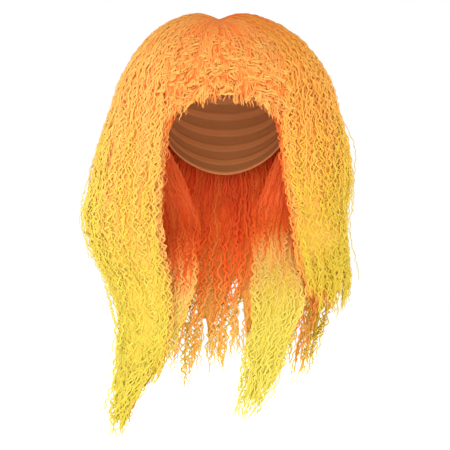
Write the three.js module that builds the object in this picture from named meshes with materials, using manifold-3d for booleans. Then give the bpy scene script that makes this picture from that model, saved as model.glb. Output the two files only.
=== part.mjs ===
// A long curly wig with a full fringe: a hollow cap that carries the fringe, two side curtains and a back
// curtain of hair. Every piece of hair is a set of tapering locks fused to a backing of matted hair.
// Millimetres, +Z up. The origin is the inside of the cap's crown, where the top of the head sits, and the
// face looks along -Y. Left and right are as seen from the front, so left is -X.
import * as THREE from "three";
import { mergeVertices } from "three/addons/utils/BufferGeometryUtils.js";
import Module from "manifold-3d";

const wasm = await Module();
wasm.setup();

// Head hollow and cap. The hollow is 547 mm round, an average adult size.
const HEAD = { halfWidth: 76, halfDepth: 97, halfHeight: 95 };
const CAP_WALL = 1.5;
// The rim is measured from the crown: it lies high on the brow and low on the nape.
const CAP_RIM = { sideDeg: 104.5, swingDeg: 34 };
const CAP_SIDES = 28;
const CAP_RINGS = 7;
const CHIN_DEG = 168; // how far from the crown the space for the head is kept free of hair
const CHIN_RINGS = 3;
const PIECE_GAP = 0.4;

// Locks. A lock is a flattened six-sided tube that ends in a point.
const LOCK_SIDES = 6;
const LOCK_DEPTH = 24;
const LOCK_OVERLAP = 1.02; // width of a lock as a share of its slot
const LOCK_STOPS = [0, 1, 2, 3, 4, 5, 6, 7.4, 8.6, 10, 12]; // levels at which a lock has a ring
const TIP_POWER = 0.7;
const MAT_INSET = 7; // how far the backing lies below the locks' outer side
const MAT_STEPS = 5; // steps of the backing below its fixed levels
// Tips: how many levels a lock takes to come to its point, how far above the tips the backing ends, and how
// many levels every backing shares with its neighbours.
const LONG_TIPS = { rows: 1.6, matShort: 55, fixed: 4 };
const SHORT_TIPS = { rows: 0.8, matShort: 24, fixed: 2 };
const TAIL_TIPS = { rows: 1.3 };
const SECTION_GAP_DEG = 1; // half the gap between neighbouring pieces of hair
const EDGE_OVERLAP = 0.94; // an outermost lock stays inside its own slot

const COLOURS = { cap: 0xa8703c, fringe: 0xf58a35, side: 0xf2b040, back: 0xef9a3a };

// Outer form of the hair, from the parting down to the longest tips: a row for each level. left, right, front
// and back are how far the hair reaches from the head's middle, and thick is how deep it is there. edge is
// where a side curtain starts and split where it ends, in degrees from the front.
const LEVELS = table(
  ["z", "left", "right", "front", "back", "thick", "edgeLeft", "edgeRight", "splitLeft", "splitRight"],
  [
    [24, 1.2, 1.2, 36, 42, 22, 42, 42, 112, 112], // parting
    [32, 30, 27, 54, 66, 31, 43, 43, 112, 112], // crest
    [17, 72, 70, 84, 96, 40, 40, 40, 112, 112], // crown
    [-12, 104, 104, 107, 122, 48, 37, 37, 111, 111], // top of the brow
    [-50, 128, 128, 120, 138, 54, 34, 34, 110, 110], // brow
    [-90, 141, 139, 122, 146, 57, 32, 32, 108, 108], // temple
    [-130, 155, 151, 116, 147, 56, 30.5, 30, 105, 105], // cheek
    [-175, 165, 155, 110, 144, 48, 30, 31.5, 102, 102], // jaw
    [-220, 174, 152, 106, 138, 40, 29.5, 37, 100, 100], // neck
    [-265, 166, 157, 104, 132, 34, 29, 38, 96, 99], // collar
    [-305, 150, 160, 104, 128, 31, 30, 41, 88, 98], // shoulder
    [-350, 141, 152, 102, 124, 28, 31, 46, 81, 97], // upper chest
    [-400, 147, 130, 98, 122, 25, 33, 50, 79, 95], // chest
    [-450, 160, 115, 92, 120, 21, 38, 50, 78, 95], // tips
    [-496, 158, 100, 88, 118, 16, 50, 50, 76, 95], // lowest tip
  ],
);
// How far the front and back of the uppermost levels lie below their sides, so that the crown is round.
const LEVEL_DROP = [3, 17, 17, 10];
// Beside the face the hair lies front to back instead of towards the head's middle: this sets in between
// two heights.
const FACE_SIDE = { from: -70, to: -120 };
const BACK_FROM_DEG = [
  { z: -240, deg: 0 }, // above the shoulder the back meets the side curtains
  { z: -330, deg: 20 }, // below it the two hang apart, on either side of the shoulder
];

// Tip heights of the locks, one for each lock, counted from the face to the back.
const LEFT_TIPS = [-428, -472, -490, -496, -488, -468, -396, -312];
const RIGHT_TIPS = [-322, -340, -328, -348, -332, -340, -326, -310];
const BACK = { locks: 10, tipZ: -430, ragged: 18, raggedTurn: 2.4 };
const FRINGE = { locks: 9, middleZ: -80, sideDrop: 27, ragged: 4, raggedTurn: 2.1 };

// Tails that come forward from behind the ears over the shoulders: a row for each station down the tail.
const TAIL_COLUMNS = ["x", "y", "z", "width", "depth"];
const RIGHT_TAIL = table(TAIL_COLUMNS, [
  [98, 4, -106, 26, 18], // under the side curtain
  [78, 10, -160, 40, 20], // behind the ear
  [68, 14, -212, 58, 22], // beside the neck
  [66, -24, -268, 64, 27], // over the collar
  [65, -66, -322, 62, 28], // front of the shoulder
  [50, -84, -385, 50, 25], // chest
  [38, -87, -428, 42, 20], // tips begin
  [20, -84, -470, 30, 12], // longest tip
]);
const LEFT_TAIL = table(TAIL_COLUMNS, [
  [-98, 4, -106, 26, 18], // under the side curtain
  [-78, 10, -160, 40, 20], // behind the ear
  [-63, 14, -212, 54, 22], // beside the neck
  [-58, -20, -268, 50, 25], // over the collar
  [-63, -48, -318, 44, 25], // front of the shoulder
  [-74, -58, -362, 34, 20], // tips begin
  [-84, -62, -408, 24, 10], // longest tip
]);
const TAIL = { locks: 4, share: 0.3, spread: 0.235, shorten: 0.05 };

// Turns rows of numbers into rows with named columns.
function table(columns, rows) {
  return rows.map((row) => Object.fromEntries(columns.map((column, i) => [column, row[i]])));
}

const rad = THREE.MathUtils.degToRad;
const lerp = THREE.MathUtils.lerp;
const clamp = THREE.MathUtils.clamp;

// A table's row at station s, which may lie between two rows, on a smooth curve through them.
function rowAt(rows, s) {
  const last = rows.length - 1;
  const i = clamp(Math.floor(s), 0, last - 1);
  const f = clamp(s - i, 0, 1);
  const [a, b, c, d] = [-1, 0, 1, 2].map((k) => rows[clamp(i + k, 0, last)]);
  const smooth = (key) => {
    const bend = 2 * a[key] - 5 * b[key] + 4 * c[key] - d[key];
    const twist = 3 * (b[key] - c[key]) + d[key] - a[key];
    return 0.5 * (2 * b[key] + f * (c[key] - a[key] + f * (bend + f * twist)));
  };
  return Object.fromEntries(Object.keys(b).map((key) => [key, smooth(key)]));
}

// The station at which the hair's levels come down to height z, below the crest.
function stationAt(z) {
  const i = LEVELS.findIndex((row, k) => k > 1 && row.z <= z);
  const above = LEVELS[i - 1];
  return i - 1 + (above.z - z) / (above.z - LEVELS[i].z);
}

// A point on the cap's form, at an angle from the crown and an angle round from the front.
function headPoint(fromCrown, round, grow) {
  const out = Math.sin(rad(fromCrown));
  return new THREE.Vector3(
    (HEAD.halfWidth + grow) * out * Math.sin(rad(round)),
    -(HEAD.halfDepth + grow) * out * Math.cos(rad(round)),
    (HEAD.halfHeight + grow) * Math.cos(rad(fromCrown)) - HEAD.halfHeight,
  );
}

function capRim(round) {
  return CAP_RIM.sideDeg - CAP_RIM.swingDeg * Math.cos(rad(round));
}

// A ring of the cap's form. Share 1 is the rim, and up to 2 is the face and neck below it.
function headRing(share, grow) {
  return Array.from({ length: CAP_SIDES }, (_, k) => {
    const round = (360 * k) / CAP_SIDES;
    const rim = capRim(round);
    const fromCrown = share <= 1 ? rim * share : lerp(rim, CHIN_DEG, share - 1);
    return headPoint(fromCrown, round, grow);
  });
}

// How far the hair at an angle a from the front, at height z, lies front to back: 0 is not at all.
function faceTurn(z, a) {
  const share = (FACE_SIDE.from - z) / (FACE_SIDE.from - FACE_SIDE.to);
  return clamp(share, 0, 1) * Math.max(Math.cos(a), 0);
}

// How far the front and back of the hair lie below its sides at station s.
function dropAt(s) {
  const i = Math.floor(s);
  return lerp(LEVEL_DROP[i] ?? 0, LEVEL_DROP[i + 1] ?? 0, s - i);
}

// A point of the hair: station down the levels, degrees round from the front (left is negative), and inset
// in millimetres below the outer form.
function hairPoint(s, round, inset) {
  const row = rowAt(LEVELS, s);
  const a = rad(round);
  const wide = Math.sin(a) < 0 ? row.left : row.right;
  const deep = Math.cos(a) > 0 ? row.front : row.back;
  const z = row.z - dropAt(s) * Math.cos(a) ** 2;
  const outer = new THREE.Vector3(wide * Math.sin(a), -deep * Math.cos(a), z);
  const aside = faceTurn(row.z, a) * outer.x;
  const middle = new THREE.Vector3(aside, 0, Math.min(row.z, -HEAD.halfHeight));
  return outer.add(middle.sub(outer).setLength(Math.min(inset, row.thick)));
}

// A closed solid from its points and the triangles between them.
function solidFrom(points, triangles) {
  const geometry = new THREE.BufferGeometry().setFromPoints(points).setIndex(triangles);
  const merged = mergeVertices(geometry, 1e-4);
  return new wasm.Manifold(
    new wasm.Mesh({
      numProp: 3,
      vertProperties: merged.attributes.position.array,
      triVerts: new Uint32Array(merged.index.array),
    }),
  );
}

function middleOf(ring) {
  return ring.reduce((sum, p) => sum.add(p), new THREE.Vector3()).divideScalar(ring.length);
}

// Lofts rings into one closed skin, with a fan to a point at each end.
function loft(rings, first = middleOf(rings[0]), last = middleOf(rings.at(-1))) {
  const n = rings[0].length;
  const points = [...rings.flat(), first, last];
  const triangles = [];
  for (let r = 0; r + 1 < rings.length; r += 1)
    for (let k = 0; k < n; k += 1) {
      const [a, b] = [r * n + k, r * n + ((k + 1) % n)];
      triangles.push(a, b, b + n, a, b + n, a + n);
    }
  const top = (rings.length - 1) * n;
  for (let k = 0; k < n; k += 1) {
    const next = (k + 1) % n;
    triangles.push(rings.length * n, next, k, rings.length * n + 1, top + k, top + next);
  }
  return outward(solidFrom(points, triangles), points, triangles);
}

// Turns a skin the right way out if its rings ran the other way round.
function outward(solid, points, triangles) {
  return solid.volume() > 0 ? solid : solidFrom(points, triangles.toReversed());
}

// Lofts open strips, each an outer line and an inner line of equal count, into one closed wall.
function wallFrom(strips) {
  const count = strips[0].outer.length;
  const n = 2 * count;
  const points = strips.flatMap((strip) => [...strip.outer, ...strip.inner.toReversed()]);
  const triangles = [];
  for (let r = 0; r + 1 < strips.length; r += 1)
    for (let k = 0; k < n; k += 1) {
      const [a, b] = [r * n + k, r * n + ((k + 1) % n)];
      triangles.push(a, b, b + n, a, b + n, a + n);
    }
  const end = (strips.length - 1) * n;
  for (let k = 0; k + 1 < count; k += 1) {
    const [i, j] = [n - 1 - k, n - 2 - k];
    triangles.push(k, i, j, k, j, k + 1, end + k, end + j, end + i, end + k, end + k + 1, end + j);
  }
  return outward(solidFrom(points, triangles), points, triangles);
}

function join(solids) {
  return solids.reduce((whole, solid) => whole.add(solid));
}

// A lock's size at station s, when its tip is at station end.
function taper(s, end, tipRows) {
  return clamp((end - s) / tipRows, 0, 1) ** TIP_POWER;
}

// Stations down a lock, from the root to the tip.
function stations(end, tipRows) {
  const start = end - tipRows;
  return [...LOCK_STOPS.filter((s) => s < start - 0.2), start, start + 0.55 * tipRows, end];
}

// A lock through the given frames, each with a middle and the half-width and half-depth as vectors.
function lockThrough(frames) {
  const rings = frames.slice(0, -1).map(({ middle, across, out }) =>
    Array.from({ length: LOCK_SIDES }, (_, k) => {
      const a = (2 * Math.PI * k) / LOCK_SIDES;
      return middle.clone().addScaledVector(across, Math.cos(a)).addScaledVector(out, Math.sin(a));
    }),
  );
  return loft(rings, frames[0].middle, frames.at(-1).middle);
}

// A piece of hair: locks side by side between two angles that change with the level, on a backing.
// round(row, v) gives the angle at share v across the piece, and tips the height of each lock's tip.
function curtain(round, tips, style) {
  const slot = 1 / tips.length;
  const at = (s, v, inset) => hairPoint(s, round(rowAt(LEVELS, s), v), inset);
  const locks = tips.map((tipZ, i) => {
    const v = (i + 0.5) * slot;
    const edge = i === 0 || i === tips.length - 1;
    const half = 0.5 * slot * (edge ? EDGE_OVERLAP : LOCK_OVERLAP);
    const end = stationAt(tipZ);
    const frames = stations(end, style.rows).map((s) => {
      const size = taper(s, end, style.rows);
      const across = at(s, v + half, LOCK_DEPTH / 2).sub(at(s, v - half, LOCK_DEPTH / 2));
      const out = at(s, v, 0).sub(at(s, v, LOCK_DEPTH));
      return {
        middle: at(s, v, LOCK_DEPTH / 2),
        across: across.multiplyScalar(size / 2),
        out: out.multiplyScalar(size / 2),
      };
    });
    return lockThrough(frames);
  });
  const matEnd = (v) => {
    const place = clamp(v / slot - 0.5, 0, tips.length - 1);
    const i = Math.min(Math.floor(place), tips.length - 2);
    return stationAt(lerp(tips[i], tips[i + 1], place - i) + style.matShort);
  };
  const strips = Array.from({ length: style.fixed + MAT_STEPS + 1 }, (_, k) => {
    const line = (inset) =>
      Array.from({ length: tips.length + 1 }, (_, j) => {
        const v = j * slot;
        const s = k <= style.fixed ? k : lerp(style.fixed, matEnd(v), (k - style.fixed) / MAT_STEPS);
        return at(s, v, inset);
      });
    return { outer: line(MAT_INSET), inner: line(Infinity) };
  });
  return join([wallFrom(strips), ...locks]);
}

// A tail of locks side by side along its own table of stations.
function tail(rows) {
  const last = rows.length - 1;
  const centre = (s) => {
    const row = rowAt(rows, s);
    return new THREE.Vector3(row.x, row.y, row.z);
  };
  const locks = Array.from({ length: TAIL.locks }, (_, i) => {
    const offset = (i - (TAIL.locks - 1) / 2) * TAIL.spread;
    const end = last * (1 - TAIL.shorten * (i % 2));
    const frames = stations(end, TAIL_TIPS.rows).map((s) => {
      const row = rowAt(rows, s);
      const size = taper(s, end, TAIL_TIPS.rows);
      const along = centre(Math.min(s + 0.1, last)).sub(centre(Math.max(s - 0.1, 0)));
      const sideways = new THREE.Vector3(1, 0, 0);
      const out = along.clone().cross(sideways).normalize();
      return {
        middle: centre(s).addScaledVector(sideways, offset * row.width),
        across: sideways.multiplyScalar(0.5 * TAIL.share * row.width * size),
        out: out.multiplyScalar(0.5 * row.depth * size),
      };
    });
    return lockThrough(frames);
  });
  return join(locks);
}

// Degrees by which the back curtain stands away from the side curtains at height z.
function shoulderGap(z) {
  const [upper, lower] = BACK_FROM_DEG;
  return lerp(upper.deg, lower.deg, clamp((upper.z - z) / (upper.z - lower.z), 0, 1));
}

function makeCap() {
  const shares = Array.from({ length: CAP_RINGS }, (_, k) => (k + 1) / CAP_RINGS);
  const inside = shares.map((share) => headRing(share, 0));
  const outside = shares.toReversed().map((share) => headRing(share, CAP_WALL));
  return loft([...inside, ...outside], headPoint(0, 0, 0), headPoint(0, 0, CAP_WALL));
}

// The space that the head and cap take, which no hair enters.
function makeHeadSpace() {
  const shares = Array.from({ length: CAP_RINGS }, (_, k) => (k + 1) / CAP_RINGS);
  const below = Array.from({ length: CHIN_RINGS }, (_, k) => 1 + (k + 1) / CHIN_RINGS);
  const grow = CAP_WALL + PIECE_GAP;
  const rings = [...shares, ...below].map((share) => headRing(share, grow)).toReversed();
  return loft(rings, middleOf(rings[0]), headPoint(0, 0, grow));
}

function makeFringe() {
  const count = FRINGE.locks;
  const tips = Array.from({ length: count }, (_, i) => {
    const side = (2 * (i + 0.5)) / count - 1;
    return FRINGE.middleZ - FRINGE.sideDrop * side * side + FRINGE.ragged * Math.sin(FRINGE.raggedTurn * i);
  });
  const round = (row, v) =>
    lerp(SECTION_GAP_DEG - row.edgeLeft, row.edgeRight - SECTION_GAP_DEG, v);
  return curtain(round, tips, SHORT_TIPS);
}

function makeLeftHair() {
  const round = (row, v) =>
    -lerp(row.edgeLeft + SECTION_GAP_DEG, row.splitLeft - SECTION_GAP_DEG, v);
  return curtain(round, LEFT_TIPS, LONG_TIPS).add(tail(LEFT_TAIL));
}

function makeRightHair() {
  const round = (row, v) =>
    lerp(row.edgeRight + SECTION_GAP_DEG, row.splitRight - SECTION_GAP_DEG, v);
  return curtain(round, RIGHT_TIPS, LONG_TIPS).add(tail(RIGHT_TAIL));
}

function makeBackHair() {
  const tips = Array.from(
    { length: BACK.locks },
    (_, i) => BACK.tipZ + BACK.ragged * Math.sin(BACK.raggedTurn * i),
  );
  const round = (row, v) => {
    const away = SECTION_GAP_DEG + shoulderGap(row.z);
    return lerp(row.splitRight + away, 360 - row.splitLeft - away, v);
  };
  return curtain(round, tips, LONG_TIPS);
}

// A named mesh of a finished solid.
function meshOf(name, solid, colour) {
  const { vertProperties, triVerts, numProp } = solid.getMesh();
  const geometry = new THREE.BufferGeometry()
    .setAttribute("position", new THREE.BufferAttribute(new Float32Array(vertProperties), numProp))
    .setIndex(new THREE.BufferAttribute(new Uint32Array(triVerts), 1));
  geometry.computeVertexNormals();
  const material = new THREE.MeshStandardMaterial({ color: colour, roughness: 0.6, metalness: 0 });
  const mesh = new THREE.Mesh(geometry, material);
  mesh.name = name;
  return mesh;
}

const headSpace = makeHeadSpace();
const wig = new THREE.Group();
wig.add(
  meshOf("cap", makeCap(), COLOURS.cap),
  meshOf("fringe", makeFringe().subtract(headSpace), COLOURS.fringe),
  meshOf("left_hair", makeLeftHair().subtract(headSpace), COLOURS.side),
  meshOf("right_hair", makeRightHair().subtract(headSpace), COLOURS.side),
  meshOf("back_hair", makeBackHair().subtract(headSpace), COLOURS.back),
);

export default wig;
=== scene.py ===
"""Long curly wig with a full fringe, its orange roots fading to yellow tips.

Curled strands lie on thin mats of tangled hair, and one table of levels guides them all. Tables and strands
are worked out in millimetres and made in metres. The face looks along -Y, and left is -X.
"""

import math
from collections import namedtuple
from dataclasses import dataclass

import bpy
import numpy as np
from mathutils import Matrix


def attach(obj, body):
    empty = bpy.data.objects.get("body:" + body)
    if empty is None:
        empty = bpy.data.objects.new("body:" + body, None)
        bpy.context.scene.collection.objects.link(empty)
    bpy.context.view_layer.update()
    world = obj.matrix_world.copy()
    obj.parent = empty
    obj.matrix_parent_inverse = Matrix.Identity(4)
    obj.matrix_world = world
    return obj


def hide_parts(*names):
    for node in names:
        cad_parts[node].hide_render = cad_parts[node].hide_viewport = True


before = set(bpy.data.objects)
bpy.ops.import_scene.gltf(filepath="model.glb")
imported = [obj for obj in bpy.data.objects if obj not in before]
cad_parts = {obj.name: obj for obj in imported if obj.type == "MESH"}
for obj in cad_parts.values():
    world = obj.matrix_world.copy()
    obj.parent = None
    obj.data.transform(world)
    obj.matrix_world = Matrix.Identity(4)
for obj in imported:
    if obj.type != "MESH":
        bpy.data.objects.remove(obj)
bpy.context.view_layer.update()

bl_info = {
    "name": "Curly Wig",
    "version": (1, 0, 0),
    "blender": (4, 5, 0),
    "location": "View3D > Sidebar > Wig",
    "description": "Builds a long curly wig with a fringe out of curled strands",
    "category": "Object",
}

MM = 0.001
BODY = "root"
MAP = "OFBake"
SEED = 20261
GOLDEN = 0.6180339887

# The outer form of the hair, from the parting down to the longest tips.
LEVEL_COLUMNS = (
    "z", "left", "right", "front", "back", "thick", "edge_left", "edge_right", "split_left", "split_right",
)
LEVELS = np.array(
    [
        (24, -1, -1, 36, 42, 22, 42, 42, 112, 112),  # parting
        (32, 30, 27, 54, 66, 31, 43, 43, 112, 112),  # crest
        (17, 72, 70, 84, 96, 40, 40, 40, 112, 112),  # crown
        (-12, 104, 104, 107, 122, 48, 37, 37, 111, 111),  # top of the brow
        (-50, 128, 128, 120, 138, 54, 34, 34, 110, 110),  # brow
        (-90, 141, 139, 122, 146, 57, 32, 32, 108, 108),  # temple
        (-130, 155, 151, 116, 147, 56, 30.5, 30, 105, 105),  # cheek
        (-175, 165, 155, 110, 144, 48, 30, 31.5, 102, 102),  # jaw
        (-220, 174, 152, 106, 138, 40, 29.5, 37, 100, 100),  # neck
        (-265, 166, 157, 104, 132, 34, 29, 38, 96, 99),  # collar
        (-305, 150, 160, 104, 128, 31, 30, 41, 88, 98),  # shoulder
        (-350, 141, 152, 102, 124, 28, 31, 46, 81, 97),  # upper chest
        (-400, 147, 130, 98, 122, 25, 33, 50, 79, 95),  # chest
        (-450, 160, 115, 92, 120, 21, 38, 50, 78, 95),  # tips
        (-496, 158, 100, 88, 118, 16, 50, 50, 76, 95),  # lowest tip
    ],
    float,
)
LEVEL_DROP = (3, 17, 17, 10, 0)  # how far the front and back of the uppermost levels lie below their sides
LEVEL_LEAN = (-7, -6, -3, -1, 0)  # how far the uppermost levels lie to one side, with the parting
FACE_SIDE = {"top": -70, "bottom": -120}  # below these heights the hair by the face lies front to back
SHOULDER = {"top": -240, "bottom": -330, "gap_deg": 20}  # where side and back hair part over the shoulder

# Tails that come forward from behind the ears: x, y, z, width and depth at each station.
TAIL_COLUMNS = ("x", "y", "z", "width", "depth")
RIGHT_TAIL = np.array(
    [
        (98, 4, -106, 26, 18),  # under the side curtain
        (78, 10, -160, 40, 20),  # behind the ear
        (68, 14, -212, 58, 22),  # beside the neck
        (66, -24, -268, 64, 27),  # over the collar
        (65, -66, -322, 62, 28),  # front of the shoulder
        (50, -84, -385, 50, 25),  # chest
        (38, -87, -428, 42, 20),  # tips begin
        (20, -84, -470, 30, 12),  # longest tip
    ],
    float,
)
LEFT_TAIL = np.array(
    [
        (-98, 4, -106, 26, 18),  # under the side curtain
        (-78, 10, -160, 40, 20),  # behind the ear
        (-63, 14, -212, 54, 22),  # beside the neck
        (-58, -20, -268, 50, 25),  # over the collar
        (-63, -48, -318, 44, 25),  # front of the shoulder
        (-74, -58, -362, 34, 20),  # tips begin
        (-84, -62, -408, 24, 10),  # longest tip
    ],
    float,
)

# Tip heights from the face round to the back.
LEFT_TIPS = (-428, -472, -490, -496, -488, -468, -396, -312)
RIGHT_TIPS = (-322, -340, -328, -348, -332, -340, -326, -310)
BACK_TIPS = (-430, -418, -442, -425, -415, -440, -428, -420, -445, -430)
FRINGE_TIPS = (-105, -93, -87, -81, -80, -82, -86, -92, -103)

HEAD = {"half_width": 76, "half_depth": 97, "half_height": 95}
CAP = {"wall": 1.5, "rim_side_deg": 104.5, "rim_swing_deg": 34, "segments": 112, "rings": 72}
CAP_CLEAR = 3.5  # strands keep this far from the inside of the cap

LEAST_DEPTH = 2  # of hair over the cap
FAR = 1e6

TONES = 64  # columns of the colour map, one for each tone of strand
TONE_MARGIN = 0.1  # share of a column that stays free on each side
MAP_MARGIN = 0.002  # share of the map that stays free at its top and bottom
PAINTED_SHADE_TONE = 48  # the columns from here on get painted shade near the head
PAINTED_SHADE_FADE = (0.14, 0.27)  # places on the map between which the painted shade near the head fades
DYE_LENGTH = 640  # the colour map's height, as a length along a strand from its root
STRAND_SIDES = 3
STRAND_TURN = 0.25  # of a side, so that one ridge of a strand looks out of the hair
STRAND_FLAT = 0.65  # how far the shading of a strand turns from its own round to the face of the hair
MAT_ROWS = 60
MAT_COLUMNS = 4  # for each lock
MAT_DEPTH = 0.9  # inner side of a mat as a share of the hair's depth
MAT_SINK = 0.3  # greatest share of the hair's depth that a mat lies below the outer form
MAT_CORE = 0.45  # share of the hair's depth at which a mat thins out
MAT_EDGE = 0.98  # how far a mat thins at its rounded edges
MAT_RAGGED = {"wide": 0.3, "wide_turn": 0.31, "lock": 0.12}  # how its end waves, as shares of its shortness
MAT_MAP = (0.02, 0.999)  # rows of the colour map that a mat keeps to
MAT_SEAM = 0.001  # gap on the map between a mat's two sides
MAT_INSIDE = 0.4  # share of a mat's half width over which its inner side takes on the lag of the inner hair, partly dye and partly painted shade
MAP_TURN = 0.4  # where the map steps back further than this, it comes round to its start
END_STRIP = 0.004  # height on the map of the strip over each end of a mat
MAT_PARTS = (205, 255)  # how far below the crown the mats draw back from each other
MAT_SHADE_LAG = 145  # painted shade: how far a mat's fade lags behind that of the strands over it, so that the hair between them shows more orange
COVERED_SHADE_LAG = 85  # painted shade: how far the fade of a strand lags behind when others cover it, so that it shows more orange
COVERED_DEPTH = (-0.01, 0.06)  # shares of the hair's depth between which a strand comes to be covered

GUIDE_POINTS = {"curtain": 70, "tail": 60}  # of a strand's path before it is curled
FEWEST_POINTS = 6  # of a curled strand
LOCK_SHIFT = 0.25  # how far a lock lies off its even place
LOCK_STEPS = {"place": 2.4, "length": 4.1}  # steps of the waves that scatter the locks
GATHER_FROM = 0.55  # share of a strand's length from which it gathers into its lock
LOCK_CORE = 0.4  # share of the hair's depth that gathering strands draw half way towards
SINK_RUN = 40  # length from the root over which a strand comes to its depth
TAIL_ROUND = 0.7  # how much the depth of a tail shrinks at its sides
CURL_STEPS = 5  # points in each turn of a curl
CURL_DRIFT = 1.4  # how far a curl runs ahead and behind, in radians
CURL_SWELL = 0.4  # how much the curls of one strand differ in size
ROOT_CURL = 0.15  # least share of a curl's size, at the root
TIP_CURL = 0.45  # share of a curl's size at the tip
TIP_RADIUS = 0.35  # share of a strand's radius at the tip
DOME_RUN = (80, 210)  # length from the root over which the hair leaves the crown
WANDER_RUN = 150  # length from the root over which a strand starts to wander
ROOT_WANDER = 0.1  # least share of the wander, at the root
WAVE_LENGTHS = ((30, 60, 25), (70, 130, 60))  # shortest and longest waves of drift, wander and swell


@dataclass(frozen=True)
class Batch:
    """A batch of like strands. Each pair is the lowest and the highest value."""

    faces: int  # triangles to spend
    across: tuple = (0, 1)  # share across the piece
    depth: tuple = (-0.03, 0.06)  # share of the hair's depth, from the outside in
    root: tuple = (0, 0.5)  # station of the root
    root_depth: tuple = (0.02, 0.45)  # share of the depth at the root
    tip: tuple = (-2, 36)  # height of the tip above the longest one of its lock
    curl: tuple = (9.5, 16.5)  # length of a curl
    swing: tuple = (1.4, 3.6)  # how far a curl swings to each side
    radius: tuple = (0.8, 1.15)  # of the strand
    tone: tuple = (0, 44)  # column of the colour map; the last columns get painted shade near the head
    lift: tuple = (0, 0)  # how far the tip stands off the hair


@dataclass(frozen=True)
class Curtain:
    """A piece of hair between two angles. Its tips are heights from one side to the other."""

    degrees: object  # gives the angle round the head for a level and a share across
    tips: tuple
    locks: int
    lock_ragged: float = 12  # how much the locks differ in length
    lock_pull: float = 0.6  # how far strands gather into their lock at the tip
    mat: tuple = (0.01, 1.05)  # span of the mat, which runs on under its neighbours
    mat_free: tuple = (0.01, 0.98)  # its span further down, where they part
    mat_cover: tuple = (2.0, 3.4)  # how far it lies below the outer form, on the crown and further down
    mat_round: float = 0.26  # share of the mat's half width over which its edges are rounded
    mat_thin: float = 0.84  # share of the mat's length at which it starts to thin
    mat_short: float = 22  # how far above the tips the mat ends
    mat_strands: float = 160.0  # strands in the pattern across it
    fade: float = 1  # how fast the dye fades along the hair
    inner_dye_and_shade: float = 250  # how far the fade of the innermost hair lags behind: partly dye, as it is rooted further down, and partly painted shade


FRINGE_BATCHES = (
    Batch(46000, depth=(-0.05, 0.06), root=(0, 0.7), root_depth=(0, 0.1), tip=(-6, 9), swing=(1.4, 2.8)),
    Batch(20000, depth=(0.3, 0.9), root=(0.5, 2), root_depth=(0.8, 1), tip=(-3, 14)),
)
SIDE_BATCHES = (
    Batch(120000, root_depth=(0, 0.2)),
    Batch(26000, across=(-0.006, 0.024), depth=(0.35, 0.85), root=(0.8, 4), root_depth=(0.5, 1),
          tone=(0, 46)),
    Batch(24000, across=(-0.006, 0.024), depth=(0, 0.42), root=(0.6, 3), root_depth=(0, 0.5)),
    Batch(5000, depth=(-0.05, 0.05), root=(2, 5), tip=(90, 270), radius=(0.45, 0.7), lift=(6, 17)),
    Batch(5500, across=(0.45, 0.95), depth=(-0.05, 0.03), root=(4, 6), tip=(10, 200), radius=(0.55, 0.9),
          lift=(5, 15)),
    Batch(3000, depth=(-0.05, 0.03), root=(0, 2), tip=(250, 450), radius=(0.45, 0.7), lift=(4, 11)),
)
INNER_BATCHES = (
    Batch(36000, depth=(0.93, 1), root=(3.5, 5.4), root_depth=(0.95, 1), swing=(1.4, 2.8), tone=(44, 64)),
)
BACK_BATCHES = (
    Batch(178000, root_depth=(0, 0.2), curl=(11, 18), swing=(1.8, 4), radius=(0.85, 1.2)),
    Batch(8000, depth=(-0.05, 0.05), root=(2, 6), tip=(60, 220), radius=(0.5, 0.75), lift=(5, 12)),
)
NAPE_BATCHES = (
    Batch(56000, depth=(0.93, 1), root=(4, 6.2), root_depth=(0.95, 1), curl=(10, 18), swing=(0.9, 2.4),
          radius=(1, 1.4), tone=(48, 64)),
)
TAIL_BATCHES = (
    Batch(44000, across=(-0.95, 0.95), depth=(-1, -0.5), root=(0, 0.8), tip=(0, 1.1), swing=(1, 2.6),
          tone=(48, 64)),
    Batch(12000, across=(-0.95, 0.95), depth=(0.2, 1), root=(0, 0.8), tip=(0, 1.3), swing=(1, 2.6),
          tone=(48, 64)),
)
TAIL_FADE = 2.6  # the dye of a tail fades this much faster
TAIL_DYE = {"left": -376, "right": -257}  # how far the fade is shifted up each tail, and with it the painted shade near the head
TAIL_CORE = {
    "sides": 16,
    "rings": 40,
    "top": 0.1,  # station of the tail at which it starts
    "short": 0.7,  # how many stations above the longest tip it ends
    "taper": 10,  # rings over which it tapers
    "tip": 0.03,  # least share of its size, squared
    "width": 0.46,  # half width as a share of the tail's width
    "depth": 0.39,  # half depth as a share of the tail's depth
}
TUFTS = {
    "count": 260,
    "strands": 5,
    "points": 8,  # of a strand
    "spread": 1.7,  # of the roots
    "top": 14,  # height of the uppermost roots
    "clear": 12,  # how far the lowest roots lie above the fringe's tips
    "fan": (0.75, 0.3),  # how far tufts turn aside, at the two heights below
    "fan_heights": (-60, 10),
    "length": (9, 19),
    "reach": (0.75, 1.1),  # share of a tuft's length that a strand comes to
    "bow": (-6, 6),  # how far a tuft bends sideways
    "wave": 0.9,  # how far a strand waves
    "wave_turn": 8,  # radians that it waves through
    "wave_start": (0, 6),
    "sunk": -9,  # height of the roots over the outer form
    "rise": (0, 5),  # height of the tips over it
    "radius": (1.0, 1.5),
    "tip_radius": 0.3,  # as a share
    "tone": (0, 44),  # column of the colour map
}
TUFT_HIGHLIGHT_FADE = 9  # painted highlight: the dye of a tuft fades this much faster, so it lightens towards its tip
TUFT_HIGHLIGHT_SHIFT = 22  # how far a tuft's fade is shifted up it, for the painted highlight at its tip
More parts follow.
